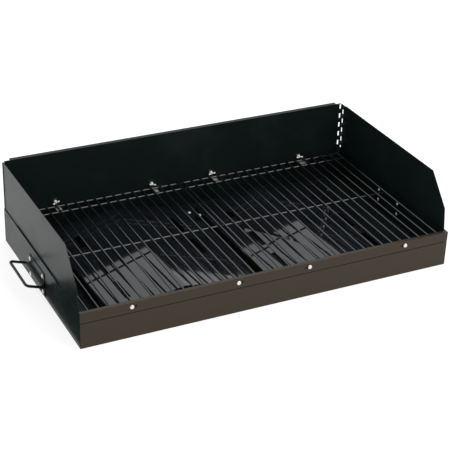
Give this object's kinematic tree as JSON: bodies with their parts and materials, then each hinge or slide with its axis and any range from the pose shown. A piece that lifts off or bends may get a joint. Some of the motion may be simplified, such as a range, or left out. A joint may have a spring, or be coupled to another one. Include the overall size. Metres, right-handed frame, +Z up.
{
  "type": "charbroiler grill",
  "caption": "Shallow steel firebox with slotted heat deflectors, lift-out wire grates, a folding three-sided windscreen and bail handles.",
  "frame": {"origin": "centre of the firebox base, on the surface it stands on", "axes": "+X to the right along the long side, +Y to the back where the windscreen stands, +Z up"},
  "size_m": [1.011, 0.5191, 0.2106],
  "materials": {
    "brown_face": "satin dark brown baked enamel",
    "black_sheet": "satin black high-heat paint",
    "deflector_gloss": "glossy black porcelain enamel",
    "grate_wire": "glossy black porcelain enamel on round wire",
    "bright_fastener": "bright zinc-plated steel",
    "bail_wire": "black coated bent wire",
    "plated_bracket": "dull plated steel"
  },
  "bodies": {
    "firebox": {"firebox_trough": "black_sheet", "front_apron": "brown_face", "front_rail": "brown_face", "windscreen_back": "black_sheet", "front_bracket_1": "black_sheet", "front_bolt_1": "bright_fastener", "front_nut_1": "bright_fastener", "rear_bracket_1": "plated_bracket", "rear_bolt_1": "bright_fastener", "rear_wing_nut_1": "bright_fastener", "front_bracket_2": "black_sheet", "front_bolt_2": "bright_fastener", "front_nut_2": "bright_fastener", "rear_bracket_2": "plated_bracket", "rear_bolt_2": "bright_fastener", "rear_wing_nut_2": "bright_fastener", "front_bracket_3": "black_sheet", "front_bolt_3": "bright_fastener", "front_nut_3": "bright_fastener", "rear_bracket_3": "plated_bracket", "rear_bolt_3": "bright_fastener", "rear_wing_nut_3": "bright_fastener", "front_bracket_4": "black_sheet", "front_bolt_4": "bright_fastener", "front_nut_4": "bright_fastener", "rear_bracket_4": "plated_bracket", "rear_bolt_4": "bright_fastener", "rear_wing_nut_4": "bright_fastener", "left_end_panel": "black_sheet", "left_rim_strip": "black_sheet", "left_deflector": "deflector_gloss", "left_deflector_stand": "black_sheet", "left_deflector_screw_left": "bright_fastener", "left_deflector_screw_right": "bright_fastener", "left_hinge_pin": "bright_fastener", "left_handle_plate": "black_sheet", "left_handle_rivet_1": "bright_fastener", "left_handle_rivet_2": "bright_fastener", "left_handle_rivet_3": "bright_fastener", "left_handle_rivet_4": "bright_fastener", "right_end_panel": "black_sheet", "right_rim_strip": "black_sheet", "right_deflector": "deflector_gloss", "right_deflector_stand": "black_sheet", "right_deflector_screw_left": "bright_fastener", "right_deflector_screw_right": "bright_fastener", "right_hinge_pin": "bright_fastener", "right_handle_plate": "black_sheet", "right_handle_rivet_1": "bright_fastener", "right_handle_rivet_2": "bright_fastener", "right_handle_rivet_3": "bright_fastener", "right_handle_rivet_4": "bright_fastener", "left_grate": "grate_wire", "right_grate": "grate_wire"},
    "left_wing": {"windscreen_left": "black_sheet"},
    "right_wing": {"windscreen_right": "black_sheet"},
    "left_bail": {"left_handle_bail": "bail_wire"},
    "right_bail": {"right_handle_bail": "bail_wire"}
  },
  "joints": [
    {"name": "left_wing_fold", "type": "hinge", "parent": "firebox", "child": "left_wing", "pos_m": [-0.4542, 0.2497, 0.15], "axis": [0, 0, 1], "range_deg": [0, 80]},
    {"name": "right_wing_fold", "type": "hinge", "parent": "firebox", "child": "right_wing", "pos_m": [0.4542, 0.2497, 0.15], "axis": [0, 0, -1], "range_deg": [0, 65]},
    {"name": "left_handle_swing", "type": "hinge", "parent": "firebox", "child": "left_bail", "pos_m": [-0.4609, 0.019, 0.033], "axis": [0, 1, 0], "range_deg": [-52, 10]},
    {"name": "right_handle_swing", "type": "hinge", "parent": "firebox", "child": "right_bail", "pos_m": [0.4609, 0.003, 0.042], "axis": [0, -1, 0], "range_deg": [-52, 10]}
  ]
}
